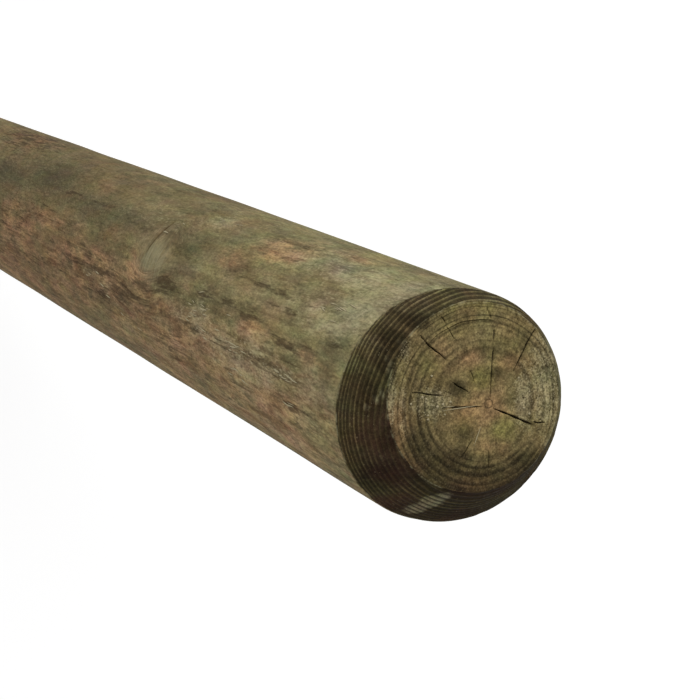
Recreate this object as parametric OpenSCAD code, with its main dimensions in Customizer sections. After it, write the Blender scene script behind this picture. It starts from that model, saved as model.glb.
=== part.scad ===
// Machine-rounded pine pole, standing on its butt.
// Millimetres. Z runs up the pole, the origin is the centre of the butt face.
// One log: a straight turned shaft, a square chamfered butt and a chamfered top.
// The top was fed crooked into the cutter: its flat lies off the axis and out of square,
// so the chamfer is wide on one side and narrow on the other, and the flat is split by
// drying checks that run out from the pith.

/* [Pole] */
// Diameter of the turned shaft
pole_d = 120; // [80:1:200]
// Length along the axis, from the butt to the middle of the top flat
pole_length = 2000; // [1000:10:4000]

/* [Top end] */
// Width of the chamfer across the radius, before the cut's offset
top_chamfer = 13; // [11:0.5:20]
// Angle between the chamfer and the pole's axis
top_angle = 33; // [25:1:55]
// How far the flat's centre lies off the pole's axis, towards -X
cut_offset = 9.3; // [0:0.1:10]
// How far the cut leans out of square, towards -X
cut_lean = 5; // [0:0.5:8]

/* [Butt end] */
// Width of the butt's chamfer across the radius
butt_chamfer = 13; // [4:0.5:20]
// Angle between the butt's chamfer and the pole's axis
butt_angle = 33; // [25:1:55]

/* [Drying checks] */
// Distance of the pith from the flat's centre, towards +Y
pith_offset = 8; // [0:0.5:15]
// Greatest opening of a check at the flat
check_width = 1.6; // [0.6:0.1:3]
// Depth of the longest check below the flat
check_depth = 24; // [5:1:60]

/* [Hidden] */
$fn = 96;

pole_r = pole_d / 2;
top_r = pole_r - top_chamfer;
butt_r = pole_r - butt_chamfer;
butt_rise = butt_chamfer / tan(butt_angle);
// The top cut is carried down past the whole shaft, so that only its tip trims wood.
cut_reach = pole_length + pole_d;
cut_base_r = top_r + cut_reach * tan(top_angle);

// One row for each check: its direction about the pith, then where it starts and ends,
// as a share of the way from the pith to the rim of the flat.
CHECKS = [
    [200, 0.06, 0.76],
    [206, 0.84, 0.96],
    [168, 0.46, 0.97],
    [86, 0.12, 0.74],
    [96, 0.72, 0.88],
    [252, 0.60, 0.93],
    [236, 0.70, 0.85],
    [267, 0.25, 0.41],
    [285, 0.46, 0.77],
    [300, 0.08, 0.46],
    [358, 0.45, 0.64],
    [26, 0.55, 0.76],
];
longest_share = max([for (c = CHECKS) c[2] - c[1]]);

// Distance from the pith to the rim of the flat in direction a.
function rim_reach(a) =
    sqrt(top_r * top_r - pow(pith_offset * cos(a), 2)) - pith_offset * sin(a);

// Puts its children in the frame of the top flat: origin at the flat's centre, Z out of it.
module on_top_flat() {
    translate([-cut_offset, 0, pole_length])
        rotate([0, -cut_lean, 0])
            children();
}

// The turned shaft with its square butt chamfer, left long at the top for the cut.
module blank() {
    rotate_extrude()
        polygon([
            [0, 0],
            [butt_r, 0],
            [pole_r, butt_rise],
            [pole_r, pole_length + pole_r],
            [0, pole_length + pole_r],
        ]);
}

// What the crooked cutter leaves: the flat and the chamfer, turned about one leaning axis.
module top_cut() {
    on_top_flat()
        translate([0, 0, -cut_reach])
            cylinder(h = cut_reach, r1 = cut_base_r, r2 = top_r);
}

// One check: a slender lozenge in plan, boat-shaped in depth, pointed at both ends.
module check(direction, start, stop) {
    reach = rim_reach(direction);
    inner = start * reach;
    outer = stop * reach;
    middle = (inner + outer) / 2;
    quarter = (outer - inner) / 4;
    depth = check_depth * (stop - start) / longest_share;
    on_top_flat()
        translate([0, pith_offset, 0])
            rotate([0, 0, direction])
                intersection() {
                    translate([0, 0, -depth - 1])
                        linear_extrude(depth + 2)
                            polygon([
                                [inner, 0],
                                [middle, -check_width / 2],
                                [outer, 0],
                                [middle, check_width / 2],
                            ]);
                    rotate([90, 0, 0])
                        linear_extrude(check_width * 2, center = true)
                            polygon([
                                [inner, 1],
                                [inner, 0],
                                [inner + quarter, -depth],
                                [outer - quarter, -depth],
                                [outer, 0],
                                [outer, 1],
                            ]);
                }
}

module pole() {
    color([0.42, 0.38, 0.28])
        difference() {
            intersection() {
                blank();
                top_cut();
            }
            for (c = CHECKS)
                check(c[0], c[1], c[2]);
        }
}

pole();
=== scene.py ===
"""Looks of a machine-rounded pine pole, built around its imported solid.

The pole is one closed surface, worked out with numpy from the pith of the top flat down to the butt.
Growth rings, drying checks, knots and stains are fields over that surface. They shape its relief and
are kept as attributes, which the three timber finishes read.
"""

import math

import bpy
import numpy as np
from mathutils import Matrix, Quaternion, Vector


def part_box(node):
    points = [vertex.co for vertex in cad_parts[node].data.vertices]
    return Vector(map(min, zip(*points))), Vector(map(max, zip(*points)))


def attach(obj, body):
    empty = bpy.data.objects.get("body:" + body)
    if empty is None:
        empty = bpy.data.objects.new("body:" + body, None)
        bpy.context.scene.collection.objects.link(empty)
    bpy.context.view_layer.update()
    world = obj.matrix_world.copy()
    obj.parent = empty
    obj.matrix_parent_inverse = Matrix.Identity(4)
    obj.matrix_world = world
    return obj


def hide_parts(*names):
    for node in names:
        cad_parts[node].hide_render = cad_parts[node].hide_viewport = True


bl_info = {
    "name": "Pine Pole",
    "version": (1, 0, 0),
    "blender": (4, 5, 0),
    "location": "3D View > Sidebar > Pine Pole",
    "description": "Dresses a machine-rounded pine pole with rings, checks, knots and weathering",
    "category": "Object",
}

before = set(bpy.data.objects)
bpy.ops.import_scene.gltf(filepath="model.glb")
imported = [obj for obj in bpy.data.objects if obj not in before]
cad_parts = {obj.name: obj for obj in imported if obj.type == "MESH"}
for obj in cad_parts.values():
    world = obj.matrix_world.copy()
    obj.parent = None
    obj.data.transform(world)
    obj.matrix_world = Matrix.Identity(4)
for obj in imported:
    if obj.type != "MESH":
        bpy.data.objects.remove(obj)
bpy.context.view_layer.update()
POLE_LOW, POLE_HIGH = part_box("pole")

MM = 0.001

# Drying checks on the top flat, one row each: direction about the pith at the start and at the end,
# in degrees, start and end as shares of the way from the pith to the rim, and greatest width in mm.
CHECKS = (
    (192, 201, 0.05, 0.77, 1.0),
    (204, 207, 0.83, 0.97, 0.8),
    (165, 171, 0.46, 1.12, 1.4),
    (70, 91, 0.09, 0.80, 1.5),
    (93, 96, 0.71, 0.88, 0.9),
    (252, 253, 0.59, 0.95, 1.1),
    (235, 237, 0.69, 0.86, 0.6),
    (236, 237, 0.88, 0.99, 0.8),
    (267, 266, 0.24, 0.42, 0.9),
    (284, 286, 0.45, 0.78, 0.9),
    (320, 298, 0.06, 0.47, 0.9),
    (359, 356, 0.44, 0.65, 0.9),
    (26, 26, 0.55, 0.76, 0.6),
    (241, 237, 0.26, 0.38, 0.5),
    (183, 188, 0.93, 1.0, 0.9),
)
# One split along a ring: its share of the way to the rim, first and last direction, width in mm, and its
# depth as a share of a check's.
RING_SHAKE = (0.835, 203, 253, 0.5, 0.35)
# A split narrower than this, in metres, is left out.
THINNEST = 1e-6

# Knots on the shaft: azimuth in degrees, mm below the top, radius in mm.
KNOTS = (
    (-100, 370, 17),
    (20, 395, 11),
    (96, 360, 10),
    (165, 405, 12),
    (172, 905, 10),
    (-70, 940, 12),
    (12, 890, 9),
    (104, 925, 11),
    (-120, 1430, 12),
    (-28, 1400, 10),
    (65, 1450, 9),
    (158, 1415, 11),
    (-95, 1860, 9),
    (-5, 1825, 11),
    (88, 1850, 10),
    (-175, 1870, 9),
)

# The crack across each knot, in knot radii: how far below the knot's middle it lies, its slope, and how
# far aside its own middle lies.
CRACK_BELOW, CRACK_SLOPE, CRACK_ASIDE = 0.62, 0.1, 0.35
# Heights of the shaft's relief in metres: waves left by the knives, the swell of a knot, its crack.
WAVE_HEIGHT, KNOT_SWELL, CRACK_DEPTH = 0.00022, 0.0006, 0.0012
# Heights of the fine relief of the ends in metres: saw marks, and nicks in the edges.
SAW_HEIGHT, NICK_DEPTH = 0.00006, 0.0005

# Where the log falls short of the round: azimuth and width in degrees, and how much of it the rim shows.
WANE_AT, WANE_WIDTH, WANE_AT_RIM = 139, 34, 0.45
# Where the top chamfer's lower edge sags: azimuth and width in degrees, share of the sag.
SAGS = ((-130, 45, 1.0), (6, 20, 0.6))

# The shaft is tinted lighter near the top and darker further down: metres below the top where that change
# starts and stops, and the tint below and at the head.
FADE_START, FADE_END = 0.10, 0.60
LOW_TINT, HEAD_TINT = (0.81, 0.76, 0.74), (1.06, 1.07, 1.06)

# Growth rings that stand out in the end grain: ring, half width in rings, strength. The pith has a ring
# of its own.
STRONG_RINGS = ((6.5, 0.9, 0.7), (10.4, 0.45, 0.9), (11.7, 0.35, 0.9))
PITH_RING = 0.55

# Marks on the shaft, one row each: azimuth in degrees, mm below the top, half width in degrees (one is
# about a millimetre of shaft), half length in mm and strength.
SHAFT_DARK = (
    (-82, 108, 2.0, 18, 0.9),
    (-87, 168, 2.2, 12, 1.0),
    (-88, 205, 1.5, 30, 0.6),
    (-87, 238, 2.0, 18, 0.8),
    (-82, 318, 3.0, 22, 1.0),
    (-75, 360, 2.0, 22, 0.9),
    (-66, 392, 2.5, 28, 0.75),
    (-62, 420, 4.0, 26, 0.6),
    (-70, 470, 2.0, 60, 1.0),
    (-56, 462, 4.0, 26, 0.6),
    (-53, 85, 2.0, 14, 0.8),
    (-92, 44, 5, 8, 0.3),
    (-145, 850, 14, 70, 0.6),
    (-52, 312, 7, 26, 0.55),
    (-92, 640, 3, 60, 0.3),
    (-62, 560, 6, 30, 0.4),
    (-86, 700, 2.5, 60, 0.3),
    (-72, 730, 14, 60, 0.35),
    (-68, 140, 1.6, 50, 0.5),
    (-67, 260, 1.6, 60, 0.6),
    (-97, 120, 1.4, 30, 0.5),
    (-105, 165, 1.4, 40, 0.8),
    (-110, 590, 1.6, 60, 0.6),
    (-52, 700, 10, 90, 0.35),
    (-76, 480, 6, 40, 0.4),
)
SHAFT_WARM = (
    (-56, 235, 18, 165, 0.95),
    (-64, 520, 22, 200, 0.80),
    (-40, 760, 30, 200, 0.80),
    (-28, 260, 18, 260, 0.65),
    (-131, 200, 9, 32, 0.95),
    (-113, 235, 8, 26, 0.6),
    (-144, 860, 14, 80, 0.6),
    (-143, 125, 4, 26, 0.6),
    (-150, 560, 8, 120, 0.35),
    (-80, 385, 6, 30, 1.0),
    (-82, 164, 4, 16, 0.9),
    (-64, 200, 8, 40, 0.6),
    (-82, 74, 4, 14, 0.8),
    (-42, 150, 8, 60, 0.9),
    (-80, 470, 5, 40, 0.9),
    (-76, 560, 5, 60, 1.0),
    (-85, 630, 6, 60, 0.9),
    (-72, 690, 14, 60, 1.0),
)
SHAFT_PALE = (
    (-135, 30, 14, 22, 0.8),
    (-112, 50, 12, 30, 0.8),
    (-72, 250, 9, 20, 0.7),
    (-80, 250, 3, 8, 0.9),
    (-68, 100, 3, 16, 0.9),
    (-69, 185, 2.5, 18, 0.9),
    (-120, 400, 10, 40, 0.4),
    (-133, 320, 6, 14, 0.6),
    (-60, 450, 3, 12, 0.6),
    (-105, 90, 10, 40, 0.5),
    (-66, 480, 4, 30, 0.5),
    (-64, 165, 10, 60, 0.7),
    (-68, 58, 6, 20, 0.5),
    (-133, 110, 9, 45, 0.9),
    (-70, 288, 5, 18, 0.6),
)
SHAFT_GREEN = (
    (-112, 330, 8, 70, 0.6),
    (-106, 318, 5, 26, 0.9),
    (-109, 440, 7, 50, 0.7),
    (-107, 520, 9, 110, 0.7),
    (-87, 88, 6, 16, 0.4),
    (-115, 680, 16, 70, 0.9),
    (-104, 800, 10, 70, 1.0),
    (-120, 270, 14, 50, 0.5),
    (-138, 450, 12, 110, 0.35),
    (-142, 640, 14, 130, 0.4),
    (-92, 45, 10, 16, 0.8),
    (-72, 44, 14, 9, 0.8),
    (-100, 780, 50, 140, 0.5),
)

# Marks on the top end, one row each: mm right and up of the pith as the photo shows it, two half sizes
# in mm and strength. The photo's right is this many degrees round from +X.
SEEN_TURN = 116
END_DARK = (
    (-17, 9, 5, 4, 0.9),
    (-13, -14, 6, 4, 0.8),
    (4, 15, 4, 3, 0.8),
    (-3, -40, 28, 9, 1.2),
    (-26, -31, 14, 10, 1.1),
    (-38, -20, 8, 12, 0.9),
    (20, -34, 12, 9, 1.0),
    (-28, 2, 3, 10, 0.4),
    (-37, 41, 5, 3, 1.1),
    (-48, 31, 4, 5, 1.2),
    (-53, 20, 3, 7, 1.1),
    (-60, 6, 6, 12, 0.7),
    (-40, 2, 8, 22, 0.55),
    (-52, -14, 4, 8, 0.8),
    (-20, 52, 14, 2.5, 0.4),
    (-50, -36, 14, 12, 0.7),
    (-5, -56, 30, 7, 1.0),
    (34, -42, 14, 12, 1.0),
    (-20, 43, 14, 2, 0.5),
)
END_WARM = (
    (-2, -2, 9, 8, 1.0),
    (-13, -5, 7, 7, 0.9),
    (-9, 21, 7, 5, 0.8),
    (12, 19, 8, 5, 0.8),
    (-27, 29, 6, 5, 0.6),
    (3, -21, 8, 5, 0.6),
    (-53, -12, 8, 13, 1.1),
    (-46, -30, 8, 10, 1.1),
    (-40, -52, 9, 6, 1.1),
    (-10, -60, 26, 5, 0.7),
    (-4, -42, 20, 6, 0.9),
)
# Pale end grain, and on the chamfer some rows that paint a sheen of light.
END_PALE_AND_SHEEN = (
    (-52, 8, 2, 18, 0.7),
    (-45, 28, 3, 7, 0.6),
    (-46, 0, 2, 14, 0.5),
    (-31, 2, 8, 6, 0.9),
    (19, 2, 4, 12, 0.9),
    (33, 10, 8, 22, 0.8),
    (-61, 33, 4, 8, 0.5),
    # These three rows are a painted sheen: pale streaks low on the top chamfer where the light glances off
    # it.
    (-22, -46, 3, 2.5, 1.2),
    (-25, -50, 4, 3.5, 1.4),
    (-29, -55, 4, 3, 1.2),
    # These three rows are painted highlights: short pale lines on the chamfer by the rim, on the left.
    (-61, 0, 1.5, 2, 0.6),
    (-58, 4, 1.5, 2.5, 0.6),
    (-56, 7, 1, 3, 0.6),
)
END_GREEN = (
    (-4, 13, 6, 6, 0.9),
    (8, -13, 7, 5, 0.9),
    (-14, -10, 5, 5, 0.7),
    (11, 29, 9, 4, 0.6),
    (-35, 20, 8, 6, 0.5),
    (22, -12, 7, 7, 0.5),
    (-10, 50, 20, 4, 0.7),
    (-60, 33, 5, 7, 0.7),
    (-52, 42, 6, 6, 0.7),
    (-41, 49, 8, 5, 0.7),
    (-26, 54, 9, 3, 0.6),
    (-65, 22, 3, 6, 0.8),
    (42, 20, 6, 30, 0.8),
)

# Torn fibres on the shaft, one row for each tuft: azimuth in degrees, mm below the top, spread across in
# degrees, spread along in mm, and how many.
TUFTS = (
    (-67, 98, 0.8, 7, 8),
    (-69, 182, 0.7, 8, 6),
    (-66, 192, 1.2, 10, 3),
    (-80, 250, 3.0, 8, 7),
    (-72, 248, 6, 18, 10),
    (-54, 92, 1.0, 4, 3),
    (-55, 175, 2.0, 10, 6),
    (-110, 66, 1.5, 8, 6),
    (-104, 78, 2.0, 10, 3),
    (-132, 318, 3.0, 8, 5),
    (-114, 355, 4.0, 8, 2),
    (-66, 490, 2.5, 20, 3),
    (-50, 400, 3.0, 12, 2),
    (-58, 450, 4.0, 16, 2),
)
# Shortest and longest, narrowest and widest fibre, and how far its middle stands off, all in metres.
FIBRE_LENGTHS, FIBRE_WIDTHS, FIBRE_LIFT = (0.006, 0.014), (0.0005, 0.0010), 0.00015
# Pale slivers standing on the top flat: direction about the pith, distance at each end in mm, width in mm.
END_SLIVERS = (
    (301, 5, 27, 0.5),
    (4, 11, 23, 0.45),
    (297, 18, 25, 0.4),
)
# Pale grains caught in the end grain: mm right and up of the pith as the photo shows it, size in mm.
END_GRAINS = (
    (-36, 5, 1.1),
    (-34, 4, 0.9),
    (-25, 1, 1.1),
    (-21, 2, 1.0),
    (-31, 15, 0.9),
    (-42, 2, 0.9),
    (-33, -6, 0.9),
    (-28, 0, 1.2),
    (-33, -4, 0.8),
    (-24, -4, 0.8),
    (16, 12, 0.9),
    (22, -6, 1.0),
    (19, -3, 0.9),
    (22, 5, 0.8),
)


def number(name, description, default, **kind):
    """A property that holds one number."""
    return bpy.props.FloatProperty(name=name, description=description, default=default, **kind)


def metres(name, description, default):
    """A property that holds a length."""
    return number(name, description, default, unit="LENGTH")


def degrees(name, description, angle):
    """A property that holds an angle, given here in degrees."""
    return number(name, description, math.radians(angle), subtype="ANGLE")


def triple(kind, name, description, default):
    """A property that holds a colour, a place or a direction."""
    return bpy.props.FloatVectorProperty(name=name, description=description, default=default, subtype=kind)


class PoleShape(bpy.types.PropertyGroup):
    """Sizes of the turned pole."""

    radius: metres("Radius", "Radius of the turned shaft", (POLE_HIGH.x - POLE_LOW.x) / 2)
    length: metres("Length", "From the butt to the middle of the top flat", 2.0)
    top_chamfer: metres("Top chamfer", "Width across the radius, before the cut's offset", 0.013)
    top_angle: degrees("Top chamfer angle", "Between the top chamfer and the pole's axis", 33)
    cut_offset: metres("Cut offset", "How far the top flat's centre lies off the axis, towards -X", 0.0093)
    cut_lean: degrees("Cut lean", "How far the top cut leans out of square, towards -X", 5)
    butt_chamfer: metres("Butt chamfer", "Width of the butt's chamfer across the radius", 0.013)
    butt_angle: degrees("Butt chamfer angle", "Between the butt's chamfer and the pole's axis", 33)
    pith_offset: metres("Pith offset", "Distance of the pith from the top flat's centre, towards +Y", 0.008)
    edge_round: metres("Edge wear", "How far the edges are worn round", 0.0011)
    foot_sag: metres("Chamfer sag", "How much lower the top chamfer runs where the cutter chattered", 0.0060)
    wane: metres("Wane", "How far the log falls short of the round on one side of the top", 0.0029)
    ridge: metres("Ring ridges", "Height of the late wood ridges on the chamfers", 0.00022)
    check_depth: metres("Check depth", "Depth of the drying checks", 0.0035)


class PoleFinish(bpy.types.PropertyGroup):
    """Colours of the weathered timber."""

    shaft_olive: triple("COLOR", "Shaft, olive", "Weathered olive of the shaft", (0.198, 0.174, 0.082))
    shaft_tan: triple("COLOR", "Shaft, tan", "Browner timber between", (0.200, 0.156, 0.072))
    shaft_green: triple("COLOR", "Shaft, green", "Dark green film on the shaft", (0.100, 0.088, 0.043))
    shaft_warm: triple("COLOR", "Shaft, warm", "Pinkish brown patches", (0.312, 0.203, 0.102))
    shaft_rust: triple("COLOR", "Shaft, rust", "Small red-brown smudges", (0.165, 0.085, 0.038))
    # This colour also paints the sheen streaks on the top chamfer.
    shaft_pale: triple("COLOR", "Shaft, pale", "Dry grey wood", (0.300, 0.272, 0.160))
    stain: triple("COLOR", "Stain", "Dark brown stains", (0.052, 0.031, 0.012))
    chamfer_dark: triple("COLOR", "Chamfer, early wood", "Soaked early wood", (0.031, 0.024, 0.011))
    chamfer_purple: triple("COLOR", "Chamfer, purple", "Purplish brown soaked areas", (0.036, 0.021, 0.012))
    chamfer_olive: triple("COLOR", "Chamfer, olive", "Drier olive areas", (0.215, 0.188, 0.084))
    chamfer_light: triple("COLOR", "Chamfer, late wood", "Lighter ridges", (0.105, 0.081, 0.036))
    end_tan: triple("COLOR", "End grain, tan", "Dry end grain", (0.172, 0.132, 0.056))
    end_pink: triple("COLOR", "End grain, heart", "Pinkish wood", (0.226, 0.146, 0.067))
    end_green: triple("COLOR", "End grain, green", "Yellow-green film", (0.168, 0.148, 0.046))
    end_dark: triple("COLOR", "End grain, pits", "Dark pits between the fibres", (0.038, 0.027, 0.011))
    check_dark: triple("COLOR", "Checks", "Inside of the drying checks", (0.028, 0.019, 0.009))
    fibre: triple("COLOR", "Torn fibres", "Pale torn fibres and slivers", (0.390, 0.335, 0.205))


class PoleStage(bpy.types.PropertyGroup):
    """Camera and light."""

    camera_place: triple("TRANSLATION", "Camera", "Where the camera stands", (0.0, -0.5137, 3.0235))
    camera_aim: triple("TRANSLATION", "Aim", "Point in the middle of the picture", (-0.0035, -0.0528, 1.9581))
    camera_roll: degrees("Roll", "Turn of the camera about its own axis", 115.3)
    lens: number("Lens", "Focal length on a 36 mm sensor, in mm", 120.9)
    key_from: triple("DIRECTION", "Key light", "Where the key light comes from", (-0.62, -0.50, 0.60))
    key: number("Key strength", "Strength of the key light", 1.5)
    key_spread: degrees("Key spread", "Angle that the key light fills, which softens its shadows", 50)
    ambient: number("Ambient", "Strength of the even light all round", 0.55)


# Fields over the timber

def ease(low, high, x):
    """0 below low, 1 above high, and a cubic S-curve between."""
    t = np.clip((x - low) / (high - low), 0.0, 1.0)
    return t * t * (3.0 - 2.0 * t)


def lattice_noise(points, seed):
    """Smooth noise from -1 to 1: a hashed value at each whole-number lattice point, and between them a
    blend of the eight corners of the cell, eased along each axis."""
    cell = np.floor(points).astype(np.int64)
    part = points - cell
    part = part * part * (3.0 - 2.0 * part)
    total = np.zeros(points.shape[:-1])
    for corner in np.ndindex(2, 2, 2):
        at = cell + corner
        key = at[..., 0] * 73856093 ^ at[..., 1] * 19349663 ^ at[..., 2] * 83492791 ^ seed * 2654435761
        key = (key ^ (key >> 13)) * 1274126177 & 0xFFFFFFFF
        value = ((key ^ (key >> 16)) & 0xFFFF) / 32767.5 - 1.0
        total += value * np.prod(np.where(corner, part, 1.0 - part), axis=-1)
    return total


def pith_place(shape):
    """Plan position of the pith."""
    return np.array([-shape.cut_offset, shape.pith_offset])


def ring_number(points, shape):
    """Growth ring, counted from the pith, at each point.

    The distance from the pith is divided by how fast the tree grew in that direction, which is a cosine
    towards one side and a rounded lobe towards another that counts more in the outer rings. The result
    is read against ring limits whose widths fall from the heart to the bark and vary from year to year.
    Down the pole the pith wanders on a slow wave, so rings run out on the shaft as long slivers.
    """
    down = shape.length - points[..., 2]
    sway = 4.0 * np.sin(down * 2.1 + 0.4) - 4.0 * np.sin(0.4)
    wander = np.stack([sway, 3.0 * np.sin(down * 2.9)], axis=-1) * MM
    offset = points[..., :2] - pith_place(shape) - wander * ease(0.03, 0.4, down)[..., None]
    away = np.hypot(offset[..., 0], offset[..., 1]) / MM
    facing = np.arctan2(offset[..., 1], offset[..., 0])
    lobe = (0.5 + 0.5 * np.cos(facing - math.radians(12))) ** 2
    lean = 0.12 * np.cos(facing - math.radians(285))
    age = away.copy()
    for _ in range(6):
        age = away / (1.0 + lean + 0.2 * (age / 60.0) ** 2 * lobe)
    age += 0.25 * lattice_noise(points * (80.0, 80.0, 4.0), 3) * ease(4.0, 15.0, age)
    age += 1.2 * lattice_noise(points * (16.0, 16.0, 1.6), 4) * ease(20.0, 40.0, age)
    years = np.arange(100)
    draw = np.random.default_rng(11).uniform(0.75, 1.25, len(years))
    limits = np.zeros(len(years) + 1)
    for year in years:
        width = 0.80 + 3.9 * (1.0 - ease(15.0, 60.0, limits[year]))
        limits[year + 1] = limits[year] + width * draw[year]
    return np.interp(age, limits, np.arange(len(limits))) + 0.4 * ease(4.0, 15.0, age)


def late_wood(ring):
    """Share of late wood: it rises through the second half of a year's ring and ends sharply."""
    part = ring - np.floor(ring)
    return ease(0.35, 0.8, part) * (1.0 - ease(0.88, 1.0, part))


def split_width(along, width):
    """Half width of a split: the square root of a half sine, so it is pointed at both ends."""
    return 0.5 * width * MM * np.sqrt(np.sin(np.pi * np.clip(along, 0, 1)))


def inside_split(across, half):
    """1 on the middle line of a split, falling evenly to 0 at its half width."""
    return np.clip(1.0 - across / np.maximum(half, THINNEST), 0, 1) * (half > THINNEST)


def check_openings(direction, share, reach):
    """How far each point of the top flat lies inside a drying check, 0 outside to 1 on its middle line.

    A check runs straight from its start to its end, so its direction follows one over the distance, with
    a small wriggle.
    """
    inside = np.zeros(direction.shape)
    for n, (first, last, start, stop, width) in enumerate(CHECKS):
        along = (share - start) / (stop - start)
        passed = (1 / start - 1 / np.clip(share, start, stop)) / (1 / start - 1 / stop)
        line = np.radians(first + (last - first) * passed)
        line = line + np.radians(0.4) * np.sin(along * 7.0 + n * 2.0)
        turn = np.arctan2(np.sin(direction - line), np.cos(direction - line))
        half = split_width(along, width) * (0.8 + 0.2 * np.sin(along * 23.0 + n))
        inside = np.maximum(inside, inside_split(np.abs(turn) * share * reach, half))
    where, first, last, width, depth = RING_SHAKE
    along = (np.degrees(direction) % 360 - first) / (last - first)
    across = np.abs(share - where - 0.003 * np.sin(along * 17.0)) * reach
    return np.maximum(inside, depth * inside_split(across, split_width(along, width)))


def knot_fields(points, shape):
    """Place relative to the nearest knot in units of its radius, round the shaft and up it, and how far
    the fibres lie aside there.

    Fibres pass a knot as a stream passes a post: their sideways place a becomes a (1 - c^2 / d^2) at
    distance d from a knot of radius c.
    """
    facing = np.arctan2(points[..., 1], points[..., 0])
    place = np.full(facing.shape + (3,), 9.0)
    nearest = np.full(facing.shape, 9.0)
    aside = np.zeros(facing.shape)
    for azimuth, below, size in KNOTS:
        turn = facing - math.radians(azimuth)
        across = np.arctan2(np.sin(turn), np.cos(turn)) * shape.radius
        along = (points[..., 2] - shape.length) + below * MM
        away = np.hypot(across, along * 0.8) / (size * MM)
        here = np.stack([across, along, 0 * along], axis=-1) / (size * MM)
        place = np.where((away < nearest)[..., None], here, place)
        nearest = np.minimum(nearest, away)
        aside -= across / np.maximum(away, 1.0) ** 2
    return np.clip(place, -9, 9), aside


def spots(x, y, rows, around=0.0):
    """The greatest of a set of oval bell curves. Rows give the middle, two half sizes and the strength;
    x may run round in a circle of the given length."""
    total = np.zeros(x.shape)
    for middle_x, middle_y, half_x, half_y, strength in rows:
        from_x = x - middle_x
        if around:
            from_x = (from_x + around / 2) % around - around / 2
        far = (from_x / half_x) ** 2 + ((y - middle_y) / half_y) ** 2
        total = np.maximum(total, strength * np.exp(-0.5 * far))
    return total


def scattered(count, seed, half_x, half_y):
    """Rows of marks like those written above, drawn for the sides and the length that the photo hides."""
    draw = np.random.default_rng(seed)
    rows = []
    for _ in range(count):
        azimuth, below = draw.uniform(-20, 200), draw.uniform(30, 1960)
        if draw.uniform() < 0.4:
            azimuth, below = draw.uniform(-180, 180), draw.uniform(900, 1960)
        scale = draw.uniform(0.5, 1.4)
        rows.append((azimuth, below, half_x * scale, half_y * scale, draw.uniform(0.5, 1.0)))
    return tuple(rows)


def butt_scattered(count, seed, half):
    """Rows of marks for the butt, in mm from its middle."""
    draw = np.random.default_rng(seed)
    rows = []
    for _ in range(count):
        size = half * draw.uniform(0.6, 1.4)
        rows.append((draw.uniform(-55, 55), draw.uniform(-55, 55), size, size, draw.uniform(0.5, 1.0)))
    return tuple(rows)


def mark_fields(points, shape, edges):
    """Dark, warm, pale and green marks at each point, from the rows for the shaft, the top and the butt."""
    azimuth = np.degrees(np.arctan2(points[..., 1], points[..., 0]))
    below = (shape.length - points[..., 2]) / MM
    from_pith = (points[..., :2] - pith_place(shape)) / MM
    turn = math.radians(SEEN_TURN)
    right = from_pith[..., 0] * math.cos(turn) + from_pith[..., 1] * math.sin(turn)
    up = from_pith[..., 1] * math.cos(turn) - from_pith[..., 0] * math.sin(turn)
    kinds = (
        (SHAFT_DARK, END_DARK, scattered(40, 5, 4, 30), butt_scattered(9, 15, 9)),
        (SHAFT_WARM, END_WARM, scattered(34, 6, 9, 60), butt_scattered(8, 16, 8)),
        (SHAFT_PALE, END_PALE_AND_SHEEN, scattered(24, 7, 7, 24), butt_scattered(6, 17, 7)),
        (SHAFT_GREEN, END_GREEN, scattered(24, 8, 11, 80), butt_scattered(6, 18, 7)),
    )
    top, chamfer, shaft, butt, sole = row_weights(len(points), edges)
    fields = []
    for on_shaft, on_top, elsewhere, on_butt in kinds:
        side = spots(azimuth, below, on_shaft + elsewhere, 360.0)
        end = spots(right, up, on_top)
        low = spots(points[..., 0] / MM, points[..., 1] / MM, on_butt)
        fields.append((top + chamfer) * end + shaft * side + (butt + sole) * low)
    return np.stack(fields, axis=-1)


def shaft_height(points, knot):
    """Height of the shaft's relief: waves left by the rounding knives, and knots that swell and crack."""
    slow = lattice_noise(points * (34.0, 34.0, 12.0), 34)
    slow = slow + 0.5 * lattice_noise(points * (90.0, 90.0, 20.0), 35)
    across, along = knot[..., 0], knot[..., 1]
    swell = np.exp(-((np.hypot(across, along) / 0.9) ** 2))
    crack = np.exp(-(((along + CRACK_BELOW + CRACK_SLOPE * across) / 0.05) ** 2))
    crack = crack * (1 - ease(0.7, 1.0, np.abs(across + CRACK_ASIDE)))
    return WAVE_HEIGHT * slow + KNOT_SWELL * swell - CRACK_DEPTH * crack


# The pole's surface

# Columns round the pole, and rows on the flat, the chamfer, the head and the rest of the shaft, each worn
# edge and the butt.
COLUMNS = 320
FLAT_ROWS, CHAMFER_ROWS, HEAD_ROWS, SHAFT_ROWS, BEND_ROWS, BUTT_ROWS = 56, 64, 8, 118, 5, 12
MOST_TRIANGLES = 198000
# Where the shaft's own rows start and end: metres below the top and above the butt.
SHAFT_FROM, SHAFT_TO = 0.07, 0.05
# Order of the three finishes among the mesh's materials.
FLAT, CHAMFER, SHAFT = 0, 1, 2


def crowded(low, high, count, places, spread, extra):
    """That many steps from low to high, crowded round the given places: equal parts of the running total
    of a density that is 1 everywhere plus a bell curve at each place."""
    fine = np.linspace(low, high, 8001)
    density = np.ones(fine.shape)
    for place, width, more in zip(places, spread, extra):
        density += more * np.exp(-(((fine - place) / width) ** 2))
    total = np.concatenate([[0], np.cumsum((density[1:] + density[:-1]) / 2)])
    return np.interp(np.linspace(0, total[-1], count), total, fine)


def column_directions():
    """Directions about the pith, crowded round each drying check."""
    middles = np.array([(first + last) / 2 for first, last, *_ in CHECKS])
    spread = np.array([1.0 + abs(last - first) / 4 for first, last, *_ in CHECKS])
    extra = 4.0 / np.sqrt(spread)
    return np.radians(crowded(0, 360, COLUMNS + 1, middles, spread, extra)[:-1])


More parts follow.
